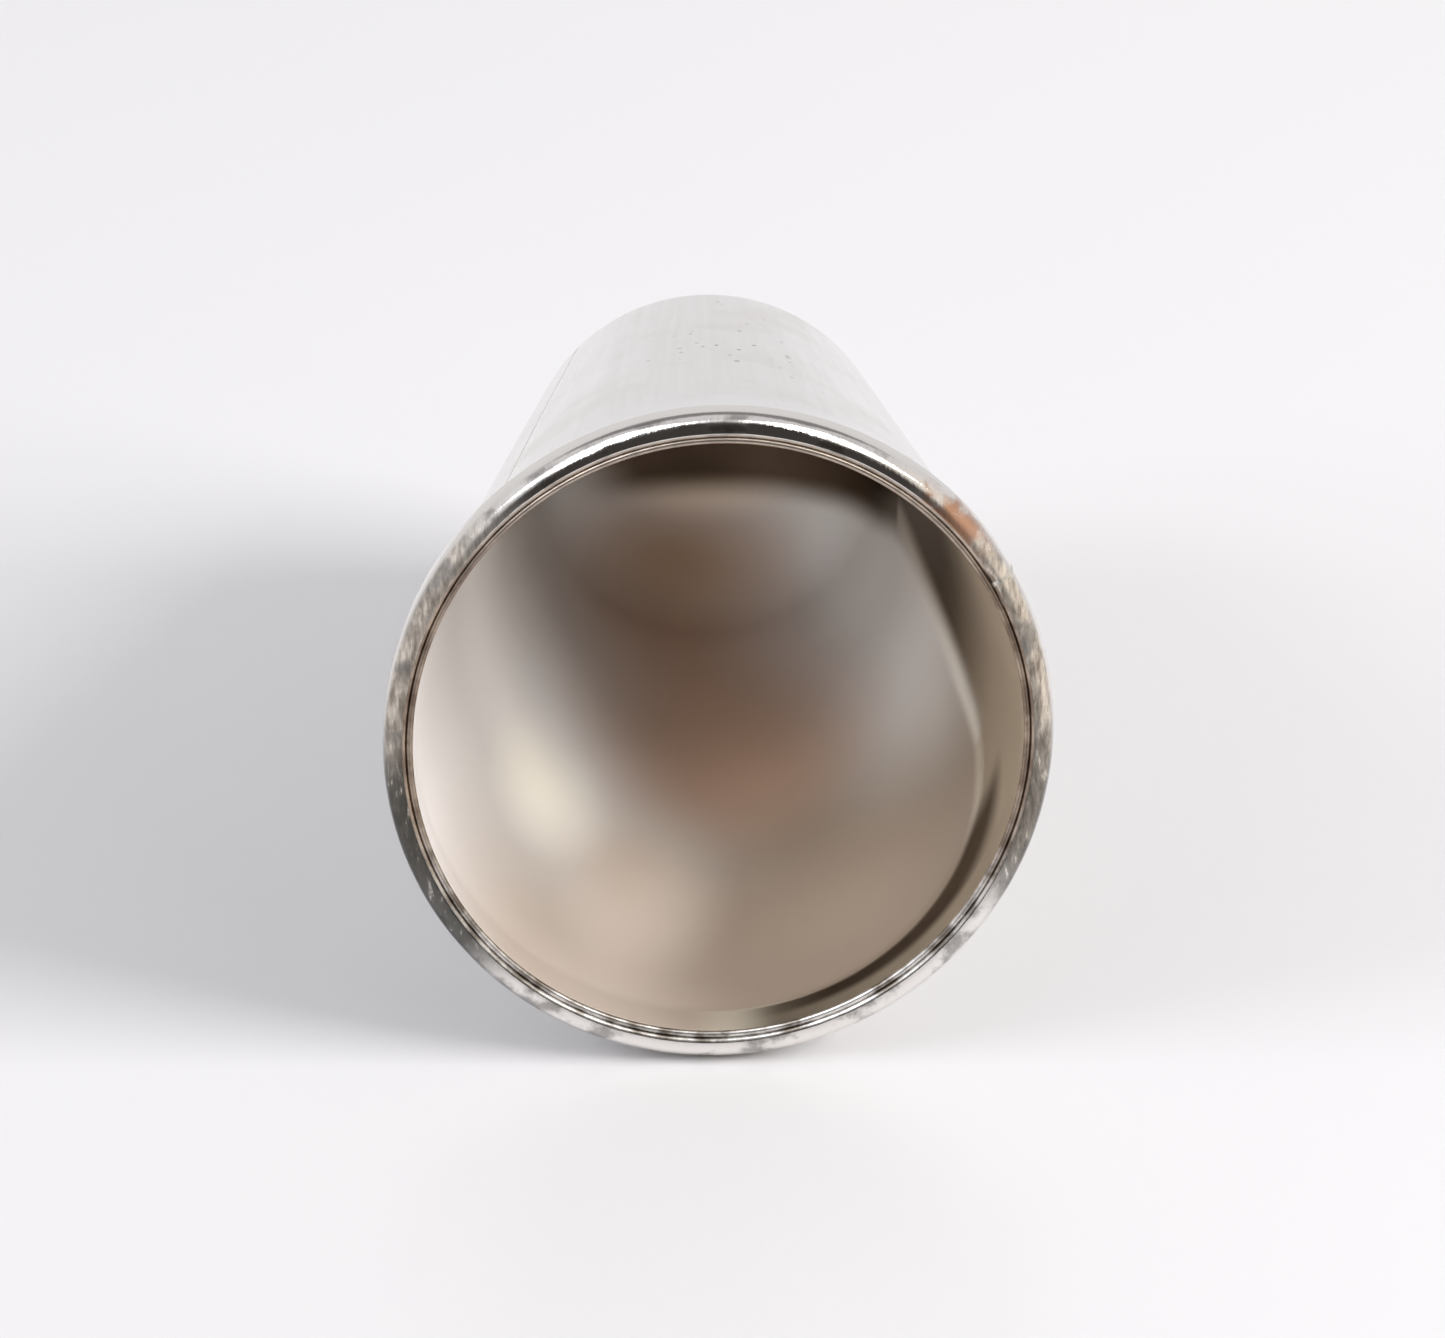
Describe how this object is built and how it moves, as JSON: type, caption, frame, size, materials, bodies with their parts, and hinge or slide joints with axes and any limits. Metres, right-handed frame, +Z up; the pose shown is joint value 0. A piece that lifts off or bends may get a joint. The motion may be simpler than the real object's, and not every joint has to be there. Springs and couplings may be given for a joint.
{
  "type": "thimble",
  "caption": "Smooth tapered silver thimble with a domed, dimpled end and a half-round wire rim, lying on its side; it covers a fingertip while sewing.",
  "frame": {"origin": "middle of the thimble's footprint, on the surface it lies on", "axes": "+Z up; the finger opening faces -Y and the domed end faces +Y; the thimble's own axis drops by about 9.8 degrees towards the domed end, as it does when it lies on its side; +X completes a right-handed frame"},
  "size_m": [0.0178, 0.0266, 0.0176],
  "materials": {
    "wall_silver": "worn bright silver, fine scratches and small pits",
    "crown_silver": "worn bright silver with a dimpled dome",
    "ring_silver": "polished and worn silver with brush marks and slight tarnish",
    "solder_silver": "dull silver solder, slightly yellow"
  },
  "bodies": {
    "root": {"side_wall": "wall_silver", "side_seam_solder": "solder_silver", "crown": "crown_silver", "crown_solder": "solder_silver", "rim_ring": "ring_silver", "rim_joint_solder": "solder_silver", "rim_solder": "solder_silver"}
  },
  "joints": []
}
